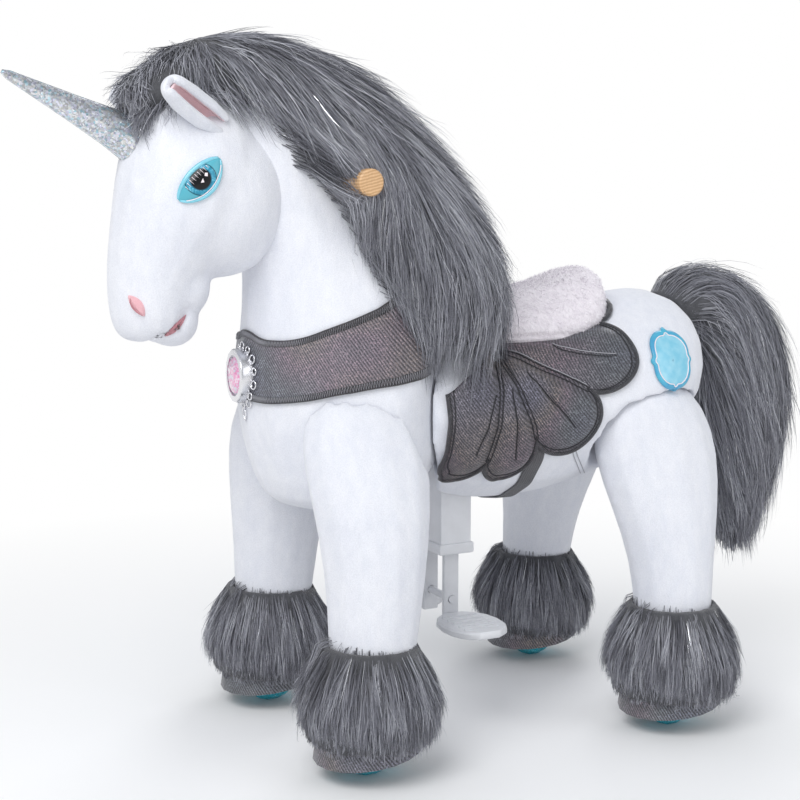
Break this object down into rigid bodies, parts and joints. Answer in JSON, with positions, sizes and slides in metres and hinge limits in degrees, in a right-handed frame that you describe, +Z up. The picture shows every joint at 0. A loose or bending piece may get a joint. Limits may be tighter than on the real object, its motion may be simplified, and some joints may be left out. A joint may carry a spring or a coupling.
{
  "type": "plush ride-on unicorn",
  "caption": "Stuffed unicorn ride-on with pedals, swinging hind legs, a steering front end and wheels hidden in its hooves.",
  "frame": {"origin": "on the floor, under the middle of the toy's box", "axes": "+Z up, the toy faces -Y, +X is its own left side"},
  "size_m": [0.52, 1.1252, 0.8935],
  "materials": {
    "glitter_mesh": "dark grey glitter mesh",
    "dark_plastic": "black nylon",
    "ear_plush": "white plush with a pink lining",
    "eye_gloss": "teal domed plastic",
    "grey_fur": "long grey fur with silver strands",
    "horn_glitter": "silver and cyan glitter",
    "hub_plastic": "white moulded plastic",
    "frame_steel": "silver-grey paint",
    "plaque_cloth": "bare pale blue patch with a white edge",
    "white_plastic": "satin moulded plastic",
    "white_plush": "short white plush",
    "saddle_plush": "curled off-white plush",
    "silver_trim": "polished silver",
    "bright_steel": "plain turned steel",
    "tyre_tread": "cyan polyurethane with fine glitter",
    "oiled_wood": "plain oiled dowel"
  },
  "bodies": {
    "trunk": {"trunk_shell": "white_plush", "chassis_frame": "frame_steel", "saddle_board": "dark_plastic", "saddle_cushion": "saddle_plush", "wing_left": "glitter_mesh", "wing_right": "glitter_mesh", "girth_strap": "glitter_mesh", "pedal_housing": "white_plastic", "hip_bush_left": "dark_plastic", "hip_bush_right": "dark_plastic", "head_tube_bush": "dark_plastic", "tail": "grey_fur", "rump_plaque": "plaque_cloth"},
    "front_end": {"front_fork": "frame_steel", "neck_and_chest": "white_plush", "head": "white_plush", "horn": "horn_glitter", "eye_left": "eye_gloss", "eye_right": "eye_gloss", "ear_left": "ear_plush", "ear_right": "ear_plush", "mane": "grey_fur", "collar": "glitter_mesh", "brooch": "silver_trim", "handle_bar": "oiled_wood", "front_leg_left": "white_plush", "front_leg_right": "white_plush", "hoof_front_left": "glitter_mesh", "hoof_front_right": "glitter_mesh", "cuff_front_left": "grey_fur", "cuff_front_right": "grey_fur", "axle_front_left": "bright_steel", "axle_front_right": "bright_steel"},
    "hind_legs": {"hip_crankshaft": "bright_steel", "hind_tube_left": "frame_steel", "hind_tube_right": "frame_steel", "hind_leg_left": "white_plush", "hind_leg_right": "white_plush", "hoof_hind_left": "glitter_mesh", "hoof_hind_right": "glitter_mesh", "cuff_hind_left": "grey_fur", "cuff_hind_right": "grey_fur", "axle_hind_left": "bright_steel", "axle_hind_right": "bright_steel"},
    "pedal_carriage": {"pedal_bar_left": "white_plastic", "pedal_bar_right": "white_plastic", "carriage_pin": "bright_steel", "pedal_cross_rod": "white_plastic", "pedal_left": "white_plastic", "pedal_right": "white_plastic"},
    "rocker_lever": {"rocker": "bright_steel"},
    "wheel_front_left": {"tyre_front_left": "tyre_tread", "hub_front_left": "hub_plastic"},
    "wheel_front_right": {"tyre_front_right": "tyre_tread", "hub_front_right": "hub_plastic"},
    "wheel_hind_left": {"tyre_hind_left": "tyre_tread", "hub_hind_left": "hub_plastic"},
    "wheel_hind_right": {"tyre_hind_right": "tyre_tread", "hub_hind_right": "hub_plastic"}
  },
  "joints": [
    {"name": "steering", "type": "hinge", "parent": "trunk", "child": "front_end", "pos_m": [0, -0.17895, 0.45], "axis": [0, 0, 1], "range_deg": [-20, 20]},
    {"name": "hind_swing", "type": "hinge", "parent": "trunk", "child": "hind_legs", "pos_m": [0, 0.23805, 0.405], "axis": [-1, 0, 0], "range_deg": [0, 14]},
    {"name": "rocker_pivot", "type": "hinge", "parent": "trunk", "child": "rocker_lever", "pos_m": [0, 0.08455, 0.405], "axis": [1, 0, 0], "range_deg": [0, 28.58]},
    {"name": "pedal_slide", "type": "slide", "parent": "trunk", "child": "pedal_carriage", "axis": [0, 0, -1], "range_m": [0, 0.0442]},
    {"name": "wheel_front_left_spin", "type": "hinge", "parent": "front_end", "child": "wheel_front_left", "pos_m": [0.1585, -0.17895, 0.043], "axis": [1, 0, 0], "continuous": true},
    {"name": "wheel_front_right_spin", "type": "hinge", "parent": "front_end", "child": "wheel_front_right", "pos_m": [-0.1585, -0.17895, 0.043], "axis": [1, 0, 0], "continuous": true},
    {"name": "wheel_hind_left_spin", "type": "hinge", "parent": "hind_legs", "child": "wheel_hind_left", "pos_m": [0.1755, 0.25805, 0.043], "axis": [1, 0, 0], "continuous": true},
    {"name": "wheel_hind_right_spin", "type": "hinge", "parent": "hind_legs", "child": "wheel_hind_right", "pos_m": [-0.1755, 0.25805, 0.043], "axis": [1, 0, 0], "continuous": true}
  ],
  "couplings": [
    {"joint": "rocker_pivot", "follows": "hind_swing", "ratio": 2.04},
    {"joint": "pedal_slide", "follows": "hind_swing", "m_per_rad": 0.18043}
  ]
}
